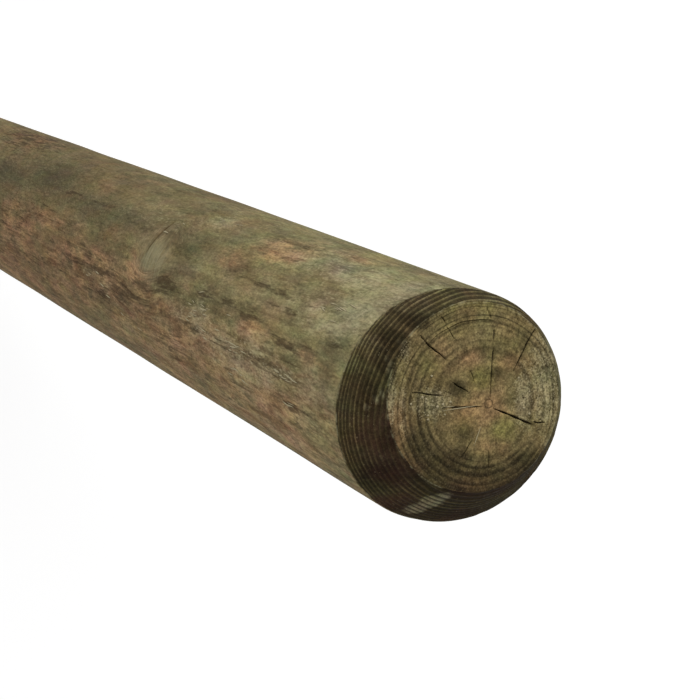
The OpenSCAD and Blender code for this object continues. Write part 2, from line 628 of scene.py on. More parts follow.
def shaft_levels(shape):
    """Heights of the shaft's rows: closer near the top, at each whorl and at the front knot's crack."""
    middle = np.array([below * MM for _, below, _ in KNOTS])
    places = np.concatenate([middle, [0.38, 0.2]])
    spread = np.concatenate([np.full(len(KNOTS), 0.024), [0.006, 0.5]])
    extra = np.concatenate([np.full(len(KNOTS), 0.8), [24.0, 2.2]])
    lowest = shape.length - SHAFT_TO
    return shape.length - crowded(SHAFT_FROM, lowest, SHAFT_ROWS, places, spread, extra)


def straight(a, b, shares):
    """Points at the given shares of the way from a to b, one row for each share."""
    return a + (b - a) * shares[:, None, None]


def bend(a, corner, b):
    """A quadratic curve from a to b that is pulled towards the corner: the worn round of an edge."""
    t = np.linspace(0, 1, BEND_ROWS + 2)[1:-1, None, None]
    return a * (1 - t) ** 2 + 2 * corner * t * (1 - t) + b * t**2


def towards(a, b, distance):
    """The point at that distance from a on the way to b."""
    step = b - a
    return a + step * (distance / np.linalg.norm(step, axis=-1, keepdims=True))


def top_frame(shape):
    """The leaning top flat: its middle, its two directions along the flat and its outward normal."""
    lean = shape.cut_lean
    side = np.array([math.cos(lean), 0, math.sin(lean)])
    front = np.array([0.0, 1.0, 0.0])
    normal = np.array([-math.sin(lean), 0, math.cos(lean)])
    return np.array([-shape.cut_offset, 0, shape.length]), side, front, normal


def bell(points, azimuth, width):
    """A bell curve round the pole: 1 at the given azimuth, falling off over the given width in degrees."""
    turn = np.degrees(np.arctan2(points[..., 1], points[..., 0])) - azimuth
    return np.exp(-((((turn + 180) % 360 - 180) / width) ** 2))


def pole_rows(shape):
    """Grid of points of the smooth pole, the row of each edge, the columns' directions about the pith,
    their reach to the rim, and the shares of the flat's rows.

    Every column starts at the pith, runs out to the rim of the leaning flat, down the cone that shares
    the flat's axis until it meets the shaft's cylinder, straight down the shaft, and in over the butt's
    chamfer to the middle of the butt. Each edge is a short curve. Bell curves round the pole take the top
    in where the log falls short of the round, fading down the shaft, and let the chamfer's foot sag.
    """
    direction = column_directions()
    radius = shape.radius
    flat_r = radius - shape.top_chamfer
    middle, side, front, normal = top_frame(shape)
    offset = shape.pith_offset
    pith = middle + front * offset
    reach = np.sqrt(flat_r**2 - (offset * np.cos(direction)) ** 2) - offset * np.sin(direction)
    outward = np.cos(direction)[:, None] * side + np.sin(direction)[:, None] * front
    full_rim = pith + reach[:, None] * outward
    reach = reach - WANE_AT_RIM * shape.wane * bell(full_rim, WANE_AT, WANE_WIDTH)
    rim = pith + reach[:, None] * outward
    tip = middle + normal * flat_r / math.tan(shape.top_angle)
    down = rim - tip
    lack = shape.wane * bell(rim, WANE_AT, WANE_WIDTH)
    a = (down[:, :2] ** 2).sum(1)
    b = 2 * (rim[:, :2] * down[:, :2]).sum(1)
    c = (rim[:, :2] ** 2).sum(1) - (radius - lack) ** 2
    foot = rim + down * ((-b + np.sqrt(b * b - 4 * a * c)) / (2 * a))[:, None]
    sag = sum(share * bell(foot, azimuth, width) for azimuth, width, share in SAGS)
    foot[:, 2] -= shape.foot_sag * sag
    round_xy = foot * (1, 1, 0) * (radius / (radius - lack))[:, None]
    heel = round_xy + (0, 0, shape.butt_chamfer / math.tan(shape.butt_angle))
    sole = round_xy * ((radius - shape.butt_chamfer) / radius)
    centre = np.zeros((COLUMNS, 3))
    start = np.broadcast_to(pith, (COLUMNS, 3))
    wear = shape.edge_round

    rim_in, rim_out = towards(rim, start, wear), towards(rim, foot, wear)
    foot_in, foot_out = towards(foot, rim, wear), towards(foot, heel, wear)
    heel_in, heel_out = towards(heel, foot, wear), towards(heel, sole, wear)
    sole_in, sole_out = towards(sole, heel, wear), towards(sole, centre, wear)
    levels = shaft_levels(shape)
    short = 1 - (lack / radius)[None, :] * (1 - ease(0.03, 0.4, shape.length - levels))[:, None]
    shaft = round_xy[None] * short[..., None]
    shaft[:, :, 2] = levels[:, None]

    shares = crowded(0, 1, FLAT_ROWS + 1, [RING_SHAKE[0]], [0.012], [6.0])[1:]
    blocks = [
        straight(start, rim_in, shares),
        bend(rim_in, rim, rim_out),
        straight(rim_out, foot_in, np.linspace(0, 1, CHAMFER_ROWS)),
        bend(foot_in, foot, foot_out),
        straight(foot_out, shaft[0], np.linspace(0, 1, HEAD_ROWS)[:-1]),
        shaft,
        bend(heel_in, heel, heel_out),
        straight(heel_out, sole_in, np.linspace(0, 1, BUTT_ROWS)),
        bend(sole_in, sole, sole_out),
        straight(sole_out, centre, np.linspace(0, 1, BUTT_ROWS + 1)[:-1]),
    ]
    counts = np.cumsum([0] + [len(block) for block in blocks])
    edges = dict(zip(("rim", "foot", "heel", "sole"), counts[[1, 3, 6, 8]] + BEND_ROWS // 2))
    return np.concatenate(blocks), edges, direction, reach, shares


def grid_normals(points):
    """Outward normals of the grid: the cross product of its steps down and round."""
    round_step = np.roll(points, -1, axis=1) - np.roll(points, 1, axis=1)
    down_step = np.gradient(points, axis=0)
    normals = np.cross(down_step, round_step)
    return normals / np.maximum(np.linalg.norm(normals, axis=-1, keepdims=True), 1e-12)


def row_weights(rows, edges):
    """Share of flat, chamfer, shaft, butt chamfer and butt in each row, with a short change at edges."""
    at = np.arange(rows)
    past = {name: ease(row - 3, row + 3, at) for name, row in edges.items()}
    top = 1 - past["rim"]
    chamfer = past["rim"] * (1 - past["foot"])
    shaft = past["foot"] * (1 - past["heel"])
    butt = past["heel"] * (1 - past["sole"])
    return [w[:, None] for w in (top, chamfer, shaft, butt, past["sole"])]


def column_run(points):
    """Distance of each grid point from the first point of its column, along the column."""
    steps = np.linalg.norm(np.diff(points, axis=0), axis=-1)
    return np.concatenate([np.zeros((1, COLUMNS)), np.cumsum(steps, axis=0)])


def edge_distance(points, edges):
    """Distance down the column to the nearest edge, in mm, at most 9."""
    run = column_run(points)
    near = np.full(run.shape, 9.0)
    for row in edges.values():
        near = np.minimum(near, np.abs(run - run[row]) / MM)
    return near


def pole_fields(points, shape, edges, direction, reach, shares):
    """The fields that shape and colour the pole, each as one value for every grid point."""
    top, _, shaft, _, _ = row_weights(len(points), edges)
    share = np.zeros(points.shape[:2])
    share[: len(shares)] = shares[:, None]
    share[len(shares) : edges["rim"] + 1] = 1.0
    check = check_openings(np.broadcast_to(direction, share.shape), share, reach) * (share > 0) * top
    knot, aside = knot_fields(points, shape)
    azimuth = np.arctan2(points[..., 1], points[..., 0])
    swirl = 0.27 * np.sin(2.2 * (shape.length - points[..., 2])) * np.cos(azimuth + math.radians(130))
    facing = azimuth + 0.7 * aside / shape.radius - swirl
    away = np.hypot(points[..., 0], points[..., 1])
    grain = np.stack([away * np.cos(facing), away * np.sin(facing), points[..., 2]], axis=-1)
    on_shaft = (shaft > 0.5)[..., None]
    return {
        "ring": ring_number(points, shape),
        "check": check,
        "edge": edge_distance(points, edges),
        "knot": np.where(on_shaft, knot, 9.0),
        "grain": np.where(on_shaft, grain, points),
        "marks": mark_fields(points, shape, edges),
    }


def relief(points, fields, shape, edges):
    """Height of the surface above the smooth pole.

    Late wood stands up as ridges on the chamfers and less on the flats, checks cut in, quick noise
    leaves the ends rough, edges are nicked, and the shaft has its own slow relief.
    """
    top, chamfer, shaft, butt, sole = row_weights(len(points), edges)
    ridges = late_wood(fields["ring"]) - 0.5
    ridges = ridges * (1.0 + 0.5 * lattice_noise(points * 130.0, 31))
    height = shape.ridge * ridges * (chamfer + butt + 0.45 * top + 0.45 * sole)
    rough = lattice_noise(points * 700.0, 32) + 0.6 * lattice_noise(points * 330.0, 33)
    height += SAW_HEIGHT * rough * (top + sole + 0.6 * chamfer + 0.6 * butt)
    height += shaft * shaft_height(points, fields["knot"])
    nick = ease(0.3, 0.8, lattice_noise(points * 140.0, 36))
    height -= NICK_DEPTH * nick * np.exp(-((fields["edge"] / 1.2) ** 2))
    return height - shape.check_depth * fields["check"] ** 0.8


# Layout of the bake map: middles and radii of the two discs, then the strips of the unrolled shaft, with
# their left, width, top, height and number.
TOP_DISC, LOW_DISC = np.array([0.205, 0.79]), np.array([0.57, 0.83])
TOP_SIZE, LOW_SIZE = 0.195, 0.14
STRIP_LEFT, STRIP_WIDE, STRIP_TOP, STRIP_TALL, STRIPS = 0.005, 0.323, 0.555, 0.525, 3


def bake_map(points, edges):
    """Map of the surface on the unit square, for the corners of the top fan, the quads and the butt fan.

    The two ends are laid out as discs, at the distance down the column from their middles. The shaft is
    unrolled and cut into three lengths that lie side by side.
    """
    rows = len(points)
    run = column_run(points)
    wrap = np.concatenate([np.arange(COLUMNS), [0]])
    foot = points[edges["foot"]][wrap]
    turn = np.unwrap(np.arctan2(foot[:, 1], foot[:, 0]))
    top_run = (run + np.linalg.norm(points[0] - points[0].mean(0), axis=-1).mean())[:, wrap]
    low_run = (run[-1] - run + np.linalg.norm(points[-1], axis=-1))[:, wrap]
    round_turn = np.stack([np.cos(turn), np.sin(turn)], axis=-1)
    top_scale = TOP_SIZE / top_run[edges["foot"]].max()
    low_scale = LOW_SIZE / low_run[edges["heel"]].max()
    top_disc = TOP_DISC + top_run[..., None] * top_scale * round_turn
    low_disc = LOW_DISC + low_run[..., None] * low_scale * round_turn * (1, -1)

    heights = points[:, wrap, 2]
    first, last = heights[edges["foot"]].max(), heights[edges["heel"]].min()
    part = (first - last) / STRIPS
    across = STRIP_LEFT + (turn - turn[0]) / (turn[-1] - turn[0]) * STRIP_WIDE
    row = np.arange(rows - 1)[:, None, None]
    on_low = row >= edges["heel"]
    on_shaft = (row >= edges["foot"]) & ~on_low
    middle = (heights[:-1] + heights[1:]).mean(axis=1) / 2
    strip = np.clip((first - middle) // part, 0, STRIPS - 1)[:, None]
    corners = []
    for down, step in ((0, 0), (1, 0), (1, 1), (0, 1)):
        columns = slice(step, COLUMNS + step)
        here = slice(down, rows - 1 + down), columns
        u = across[columns] + strip / STRIPS
        v = STRIP_TOP - (first - heights[here] - strip * part) / part * STRIP_TALL
        disc = np.where(on_low, low_disc[here], top_disc[here])
        corners.append(np.where(on_shaft, np.stack([u, v], axis=-1), disc))
    top_fan = np.stack([np.broadcast_to(TOP_DISC, (COLUMNS, 2)), top_disc[0, :-1], top_disc[0, 1:]], axis=1)
    low_fan = np.stack([np.broadcast_to(LOW_DISC, (COLUMNS, 2)), low_disc[-1, 1:], low_disc[-1, :-1]], axis=1)
    quads = np.stack(corners, axis=2)
    return np.concatenate([top_fan.reshape(-1, 2), quads.reshape(-1, 2), low_fan.reshape(-1, 2)])


def add_attribute(mesh, name, values):
    """Store values, one row for each vertex, as a float, vector or colour attribute."""
    kinds = {1: ("FLOAT", "value"), 3: ("FLOAT_VECTOR", "vector"), 4: ("FLOAT_COLOR", "color")}
    kind, slot = kinds[values.shape[1]]
    mesh.attributes.new(name, kind, "POINT").data.foreach_set(slot, values.ravel())


def build_pole_mesh(shape):
    """The pole as one closed mesh: a fan at the pith, quads between the rows, a fan at the butt."""
    smooth, edges, direction, reach, shares = pole_rows(shape)
    fields = pole_fields(smooth, shape, edges, direction, reach, shares)
    points = smooth + grid_normals(smooth) * relief(smooth, fields, shape, edges)[..., None]
    rows = len(points)
    pith = (*pith_place(shape), shape.length)
    vertices = np.concatenate([[pith], points.reshape(-1, 3), [(0, 0, 0)]])

    index = 1 + np.arange(rows * COLUMNS).reshape(rows, COLUMNS)
    after = np.roll(index, -1, axis=1)
    quads = np.stack([index[:-1], index[1:], after[1:], after[:-1]], axis=-1).reshape(-1, 4)
    top_fan = np.stack([np.zeros(COLUMNS, int), index[0], after[0]], axis=-1)
    low_fan = np.stack([np.full(COLUMNS, len(vertices) - 1), after[-1], index[-1]], axis=-1)
    loops = np.concatenate([top_fan.ravel(), quads.ravel(), low_fan.ravel()])
    sizes = np.concatenate([np.full(COLUMNS, 3), np.full(len(quads), 4), np.full(COLUMNS, 3)])

    mesh = bpy.data.meshes.new("pole_timber")
    mesh.vertices.add(len(vertices))
    mesh.vertices.foreach_set("co", vertices.ravel())
    mesh.loops.add(len(loops))
    mesh.loops.foreach_set("vertex_index", loops)
    mesh.polygons.add(len(sizes))
    mesh.polygons.foreach_set("loop_start", np.concatenate([[0], np.cumsum(sizes)[:-1]]))

    row = np.repeat(np.arange(rows - 1), COLUMNS)
    finish = np.full(len(row), SHAFT)
    finish[(row < edges["foot"]) | (row >= edges["heel"])] = CHAMFER
    finish[(row < edges["rim"]) | (row >= edges["sole"])] = FLAT
    fan = np.full(COLUMNS, FLAT)
    mesh.polygons.foreach_set("material_index", np.concatenate([fan, finish, fan]))
    mesh.polygons.foreach_set("use_smooth", np.ones(len(sizes), bool))
    mesh.uv_layers.new(name="OFBake").data.foreach_set("uv", bake_map(smooth, edges).ravel())
    for name, values in fields.items():
        flat = values.reshape(rows * COLUMNS, -1)
        first, last = flat[:COLUMNS].mean(axis=0), flat[-COLUMNS:].mean(axis=0)
        add_attribute(mesh, name, np.concatenate([[first], flat, [last]]))
    mesh.update(calc_edges=True)
    if mesh.validate(verbose=True):
        raise RuntimeError("the pole's mesh was not clean")
    if 2 * len(quads) > MOST_TRIANGLES:
        raise RuntimeError("the pole's mesh is too fine")
    return mesh


# Torn fibres

def spindles(middle, along, across, out, length, width, height, arch):
    """Closed spindles, one for each row: a five-sided section that swells as a sine between two points
    and rises on a parabola in the middle."""
    t = np.array([0.0, 0.16, 0.4, 0.62, 0.84, 1.0])
    turn = np.radians(np.arange(5) * 72 + 18)
    swell = np.sin(np.pi * t[1:-1])
    line = middle[:, None] + along[:, None] * ((t - 0.5)[None, :, None] * length[:, None, None])
    line = line + out[:, None] * (arch[:, None, None] * (4 * t * (1 - t))[None, :, None])
    wide = (width[:, None, None] / 2 * swell[None, :, None] * np.cos(turn))[..., None] * across[:, None, None]
    tall = (height[:, None, None] / 2 * swell[None, :, None] * np.sin(turn))[..., None] * out[:, None, None]
    rings = line[:, 1:-1, None] + wide + tall
    count = len(middle)
    points = np.concatenate([line[:, :1], rings.reshape(count, -1, 3), line[:, -1:]], axis=1)
    sides, levels = len(turn), len(swell)
    end = 1 + sides * levels
    ring = 1 + np.arange(sides * levels).reshape(levels, sides)
    after = np.roll(ring, -1, axis=1)
    first = np.stack([np.zeros(sides, int), after[0], ring[0]], axis=-1)
    last = np.stack([np.full(sides, end), ring[-1], after[-1]], axis=-1)
    quads = np.stack([ring[:-1], after[:-1], after[1:], ring[1:]], axis=-1).reshape(-1, 4)
    base = np.arange(count)[:, None, None] * (end + 1)
    triangles = (np.concatenate([first, last])[None] + base).reshape(-1, 3)
    return points.reshape(-1, 3), triangles.tolist() + (quads[None] + base).reshape(-1, 4).tolist()


def shaft_tufts(shape):
    """What spindles needs for the torn fibres: those of the listed tufts and some drawn for the hidden
    sides, each set a little off the shaft's relief."""
    draw = np.random.default_rng(41)
    rows = list(TUFTS)
    for _ in range(40):
        rows.append((draw.uniform(0, 160), draw.uniform(60, 1930), 2.5, 14, 6))
    for _ in range(20):
        rows.append((draw.uniform(-150, -20), draw.uniform(700, 1930), 2.5, 14, 6))
    counts = [row[4] for row in rows]
    azimuth, below, wide, long = (np.repeat([row[k] for row in rows], counts) for k in range(4))
    count = len(azimuth)
    azimuth = np.radians(azimuth + wide * draw.normal(0, 1, count))
    below = (below + long * draw.normal(0, 1, count)) * MM
    out = np.stack([np.cos(azimuth), np.sin(azimuth), 0 * azimuth], axis=-1)
    round_way = np.stack([-np.sin(azimuth), np.cos(azimuth), 0 * azimuth], axis=-1)
    upward = np.broadcast_to((0.0, 0.0, 1.0), out.shape)
    slant = np.radians(draw.normal(0, 5, count))[:, None]
    along = upward * np.cos(slant) + round_way * np.sin(slant)
    across = np.cross(out, along)
    smooth = out * shape.radius + upward * (shape.length - below)[:, None]
    knot, _ = knot_fields(smooth, shape)
    middle = smooth + out * (shaft_height(smooth, knot) + FIBRE_LIFT)[:, None]
    length = draw.uniform(*FIBRE_LENGTHS, count)
    width = draw.uniform(*FIBRE_WIDTHS, count)
    return middle, along, across, out, length, width, 0.5 * width, 0.01 * length


def end_slivers(shape):
    """What spindles needs for the slivers of pale wood on the top flat and the short pale grains, which
    all point away from the pith."""
    middle, side, front, normal = top_frame(shape)
    right, up, size = np.array(END_GRAINS, dtype=float).T
    turn = np.degrees(np.arctan2(up, right)) + SEEN_TURN
    away = np.hypot(right, up)
    grains = np.stack([turn, away - 0.8 * size, away + 0.8 * size, 1.4 * size], axis=-1)
    rows = np.concatenate([np.array(END_SLIVERS, dtype=float), grains])
    direction = np.radians(rows[:, 0])[:, None]
    along = side * np.cos(direction) + front * np.sin(direction)
    across = np.cross(normal, along)
    out = np.broadcast_to(normal, along.shape)
    place = middle + front * shape.pith_offset + along * (rows[:, 1:2] + rows[:, 2:3]) / 2 * MM
    width = rows[:, 3] * MM
    return place, along, across, out, (rows[:, 2] - rows[:, 1]) * MM, width, width, 0.3 * width


def build_fibre_mesh(shape):
    """All torn fibres and slivers as one mesh."""
    both = zip(shaft_tufts(shape), end_slivers(shape))
    points, faces = spindles(*(np.concatenate(pair) for pair in both))
    mesh = bpy.data.meshes.new("torn_fibres")
    mesh.from_pydata(points.tolist(), [], faces)
    mesh.polygons.foreach_set("use_smooth", np.ones(len(mesh.polygons), bool))
    return mesh


# Shader building

class Sketch:
    """Adds nodes to a tree. An input may be a socket, which is linked, or a constant, which is set."""

    def __init__(self, tree):
        self.tree = tree

    def node(self, kind, inputs=(), **settings):
        made = self.tree.nodes.new(kind)
        for name, value in settings.items():
            setattr(made, name, value)
        for name, value in dict(inputs).items():
            self.join(made.inputs[name], value)
        return made

    def join(self, socket, value):
        if isinstance(value, bpy.types.NodeSocket):
            self.tree.links.new(value, socket)
        elif hasattr(value, "__len__") and len(value) == 3 and socket.type == "RGBA":
            socket.default_value = (*value, 1.0)
        else:
            socket.default_value = value

    def math(self, operation, a, b=0.0):
        return self.node("ShaderNodeMath", {0: a, 1: b}, operation=operation).outputs[0]

    def mul(self, a, b):
        return self.math("MULTIPLY", a, b)

    def add(self, a, b):
        return self.math("ADD", a, b)

    def sub(self, a, b):
        return self.math("SUBTRACT", a, b)

    def most(self, a, b):
        return self.math("MAXIMUM", a, b)

    def apart(self, a, b):
        """How far two values lie apart."""
        return self.math("ABSOLUTE", self.sub(a, b))

    def vector(self, operation, inputs, output="Vector"):
        return self.node("ShaderNodeVectorMath", inputs, operation=operation).outputs[output]

    def times(self, a, b):
        """Product of two vectors, part by part: a stretch of a place or a tint of a colour."""
        return self.vector("MULTIPLY", {0: a, 1: b})

    def tint(self, colour, value):
        """A colour made lighter or darker by a value."""
        return self.vector("SCALE", {0: colour, 3: value})

    def noise(self, vector, scale, detail=2.0, roughness=0.5, distortion=0.0, output=0):
        amounts = {"Scale": scale, "Detail": detail, "Roughness": roughness, "Distortion": distortion}
        return self.node("ShaderNodeTexNoise", {"Vector": vector, **amounts}).outputs[output]

    def step(self, value, low, high, to_low=0.0, to_high=1.0):
        """An S-curve from to_low, where the value is low, to to_high, where it is high."""
        inputs = {"Value": value, "From Min": low, "From Max": high, "To Min": to_low, "To Max": to_high}
        return self.node("ShaderNodeMapRange", inputs, interpolation_type="SMOOTHSTEP").outputs[0]

    def fade(self, mask, at_none, at_full):
        """A value that changes with a mask from 0 to 1."""
        return self.step(mask, 0.0, 1.0, at_none, at_full)

    def swing(self, noise, amount):
        """A factor round 1 that swings with a noise."""
        return self.add(1.0, self.mul(self.sub(noise, 0.5), amount))

    def cast(self, colour, hue, amount):
        """A colour whose red, green and blue each swing with a coloured noise."""
        shift = self.vector("MULTIPLY_ADD", {0: hue, 1: (amount,) * 3, 2: (1 - amount / 2,) * 3})
        return self.times(colour, shift)

    def ragged(self, mask, noise, spread=0.9, strength=1.0, low=0.15, high=0.95):
        """A mask whose edge is torn by a noise."""
        moved = self.add(mask, self.mul(self.sub(noise, 0.5), spread))
        edge = self.step(moved, low, high, 0.0, strength)
        return self.mul(edge, self.step(mask, 0.02, 0.2))

    def blend(self, factor, a, b):
        return self.node("ShaderNodeMix", {0: factor, 6: a, 7: b}, data_type="RGBA").outputs[2]

    def place(self):
        return self.node("ShaderNodeTexCoord").outputs["Object"]

    def field(self, name, output="Fac"):
        return self.node("ShaderNodeAttribute", attribute_name=name).outputs[output]

    def marks(self):
        """The dark, warm, pale and green marks."""
        source = self.node("ShaderNodeAttribute", attribute_name="marks").outputs
        parts = self.node("ShaderNodeSeparateColor", {0: source["Color"]}).outputs
        return parts[0], parts[1], parts[2], source["Alpha"]

    def group(self, tree, inputs):
        return self.node("ShaderNodeGroup", inputs, node_tree=tree).outputs

    def give(self, sockets, values):
        for name, value in values.items():
            self.join(sockets[name], value)

    def bump(self, height, depth):
        inputs = {"Strength": 0.5, "Distance": depth, "Height": height}
        return self.node("ShaderNodeBump", inputs).outputs[0]


# Kinds of the groups' sockets that aren't plain values.
SOCKET_KINDS = {"Place": "NodeSocketVector", "Cast": "NodeSocketColor"}


def new_group(name, inputs, outputs):
    """An empty shader node group with the named sockets, its sketch and its two end nodes."""
    tree = bpy.data.node_groups.new(name, "ShaderNodeTree")
    for side, labels in (("INPUT", inputs), ("OUTPUT", outputs)):
        for label in labels:
            kind = SOCKET_KINDS.get(label, "NodeSocketFloat")
            tree.interface.new_socket(name=label, in_out=side, socket_type=kind)
    s = Sketch(tree)
    return tree, s, s.node("NodeGroupInput").outputs, s.node("NodeGroupOutput").inputs


def growth_ring_group(name):
    """Late wood of each year's ring as a thin line and as a broad band, and a tone for the year."""
    tree, s, given, out = new_group(name, ("Ring", "Place"), ("Late", "Band", "Tone"))
    wobble = s.noise(given["Place"], 420.0)
    ring = s.add(given["Ring"], s.mul(s.sub(wobble, 0.5), 0.22))
    part = s.math("FRACT", ring)
    year = {"W": s.math("FLOOR", ring)}
    late = s.mul(s.step(part, 0.48, 0.80), s.step(part, 0.86, 1.0, 1.0, 0.0))
    band = s.mul(s.step(part, 0.15, 0.75), s.step(part, 0.80, 1.0, 1.0, 0.0))
    tone = s.node("ShaderNodeTexWhiteNoise", year, noise_dimensions="1D").outputs["Value"]
    s.give(out, {"Late": late, "Band": band, "Tone": tone})
    return tree


def fibre_group(name):
    """Fibres along the trunk: broad streaks, fine hairs, threads and thin dark lines, stretched along Z."""
    tree, s, given, out = new_group(name, ("Place",), ("Streak", "Hair", "Thread", "Line"))

    def along(share):
        return s.times(given["Place"], (1, 1, share))

    line = s.noise(along(0.022), 420.0, 1.0, 0.4)
    broken = s.noise(along(0.5), 60.0, 3.0, 0.6)
    s.give(out, {
        "Streak": s.noise(along(0.10), 260.0, 4.0, 0.62),
        "Hair": s.noise(along(0.35), 950.0, 2.0, 0.6),
        "Thread": s.noise(along(0.08), 520.0, 3.0, 0.6),
        "Line": s.mul(s.step(line, 0.60, 0.68), s.step(broken, 0.42, 0.58)),
    })
    return tree


def weather_group(name):
    """Weathering noise: slow drifts, clouds a few centimetres long, casts of colour, mottling, flakes,
    specks and pits."""
    outputs = ("Drift", "Cloud", "Hue", "Cast", "Mottle", "Flake", "Speck", "Pit")
    tree, s, given, out = new_group(name, ("Place",), outputs)
    here = given["Place"]
    slow = s.times(here, (1, 1, 0.3))
    long = s.times(here, (1, 1, 0.28))
    s.give(out, {
        "Drift": s.noise(slow, 19.0, 4.0, 0.6),
        "Cloud": s.noise(slow, 62.0, 5.0, 0.65, 0.3),
        "Hue": s.noise(s.times(here, (-1, 1, 0.25)), 95.0, 4.0, 0.6, 0.6),
        "Cast": s.noise(s.times(here, (1, -1, 0.35)), 85.0, 4.0, 0.6, output="Color"),
        "Mottle": s.noise(long, 190.0, 4.0, 0.68, 0.4),
        "Flake": s.noise(long, 480.0, 3.0, 0.65),
        "Speck": s.noise(here, 1100.0, 2.0, 0.65),
        "Pit": s.step(s.noise(here, 640.0, 1.0, 0.5), 0.66, 0.74),
    })
    return tree


def knot_group(name):
    """A knot: pale curved streaks across the trunk inside a soft oval, and a dark crack."""
    tree, s, given, out = new_group(name, ("Place",), ("Fan", "Crack"))
    parts = s.node("ShaderNodeSeparateXYZ", {0: given["Place"]}).outputs
    across, along = parts[0], parts[1]
    curve = s.add(along, s.mul(s.mul(across, across), -0.22))
    bent = s.node("ShaderNodeCombineXYZ", {0: s.mul(across, 0.5), 1: s.mul(curve, 3.6)}).outputs[0]
    streak = s.noise(bent, 1.5, 4.0, 0.7, 0.5)
    moved = s.vector("ADD", {0: given["Place"], 1: (-0.5, -0.4, 0)})
    oval = s.vector("LENGTH", {0: s.times(moved, (1.1, 0.58, 0))}, "Value")
    fan = s.mul(s.step(streak, 0.36, 0.64, 0.3, 1.0), s.step(oval, 0.2, 1.3, 1.0, 0.0))
    line = s.math("ABSOLUTE", s.add(s.add(along, CRACK_BELOW), s.mul(across, CRACK_SLOPE)))
    reach = s.math("ABSOLUTE", s.add(across, CRACK_ASIDE))
    crack = s.mul(s.step(line, 0.02, 0.12, 1.0, 0.0), s.step(reach, 0.55, 0.9, 1.0, 0.0))
    s.give(out, {"Fan": fan, "Crack": crack})
    return tree


def new_material(name):
    """A material with a Principled shader, its sketch and that shader."""
    made = bpy.data.materials.new(name)
    made.use_nodes = True
    shader = made.node_tree.nodes["Principled BSDF"]
    shader.inputs["Specular IOR Level"].default_value = 0.08
    return made, Sketch(made.node_tree), shader


def shaft_material(finish, groups, length):
    """Peeled and weathered side grain: olive and tan drifts, warm patches, dark stains, pale fibres."""
    made, s, shader = new_material("Weathered shaft")
    place = s.field("grain", "Vector")
    here = s.place()
    dark, warm, pale, green = s.marks()
    rings = s.group(groups["rings"], {"Ring": s.field("ring"), "Place": here})
    fibre = s.group(groups["fibre"], {"Place": place})
    weather = s.group(groups["weather"], {"Place": place})
    knot = s.group(groups["knot"], {"Place": s.field("knot", "Vector")})
    edge = s.field("edge")
    height = s.node("ShaderNodeSeparateXYZ", {0: here}).outputs[2]

    torn = s.mul(s.add(weather["Mottle"], fibre["Streak"]), 0.5)
    rough = s.step(warm, 0.0, 0.7)
    colour = s.blend(s.step(weather["Drift"], 0.3, 0.7), finish.shaft_olive, finish.shaft_tan)
    colour = s.blend(s.ragged(green, weather["Cloud"], 1.2), colour, finish.shaft_green)
    colour = s.blend(s.ragged(warm, weather["Cloud"], 0.8), colour, finish.shaft_warm)
    rust = s.mul(s.step(weather["Hue"], 0.50, 0.66), s.fade(rough, 0.14, 0.6))
    colour = s.blend(rust, colour, finish.shaft_rust)
    moss = s.mul(s.step(weather["Hue"], 0.34, 0.46, 1.0, 0.0), s.fade(rough, 0.25, 0.55))
    colour = s.blend(moss, colour, finish.shaft_green)
    colour = s.blend(s.ragged(pale, weather["Cloud"], 1.2, 0.6), colour, finish.shaft_pale)
    cloud = s.step(weather["Cloud"], 0.3, 0.7, 0.73, 1.25)
    fine = s.add(s.mul(fibre["Hair"], 0.5), s.mul(weather["Flake"], 0.5))
    grain = s.swing(fine, s.fade(rough, 2.7, 3.2))
    smudge = s.swing(torn, s.fade(rough, 1.1, 1.8))
    colour = s.tint(colour, s.mul(s.mul(cloud, grain), smudge))
    # Lighter near the head, darker further down the shaft.
    near_head = s.step(height, length - FADE_END, length - FADE_START)
    colour = s.times(colour, s.blend(near_head, LOW_TINT, HEAD_TINT))
    colour = s.cast(colour, weather["Cast"], 0.42)
    dashes = s.mul(s.step(torn, 0.36, 0.46, 1.0, 0.0), s.fade(rough, 0.10, 0.45))
    colour = s.blend(dashes, colour, finish.stain)
    threads = s.mul(s.add(weather["Mottle"], fibre["Thread"]), 0.5)
    stained = s.ragged(dark, threads, 4.5)
    colour = s.tint(colour, s.fade(stained, 1.0, 0.55))
    colour = s.blend(s.mul(stained, 0.55), colour, finish.stain)
    colour = s.blend(s.mul(knot["Fan"], 0.75), colour, finish.shaft_pale)
    lines = s.mul(fibre["Line"], s.fade(rough, 0.25, 0.5))
    colour = s.blend(s.most(lines, s.mul(knot["Crack"], 0.9)), colour, finish.stain)
    colour = s.blend(s.mul(rings["Late"], 0.06), colour, finish.stain)
    fleck = s.mul(s.step(weather["Flake"], 0.52, 0.62), s.step(fibre["Hair"], 0.46, 0.6))
    colour = s.blend(s.mul(fleck, s.step(pale, 0.0, 0.8, 0.07, 0.7)), colour, finish.fibre)
    colour = s.blend(s.step(edge, 0.2, 1.5, 0.15, 0.0), colour, finish.stain)

    raised = s.add(s.mul(fibre["Hair"], 0.7), s.mul(fibre["Streak"], 0.5))
    raised = s.add(raised, s.mul(weather["Mottle"], 0.8))
    s.give(shader.inputs, {
        "Base Color": colour,
        "Roughness": s.step(fibre["Streak"], 0.2, 0.8, 0.95, 0.8),
        "Normal": s.bump(raised, 0.0007),
    })
    return made


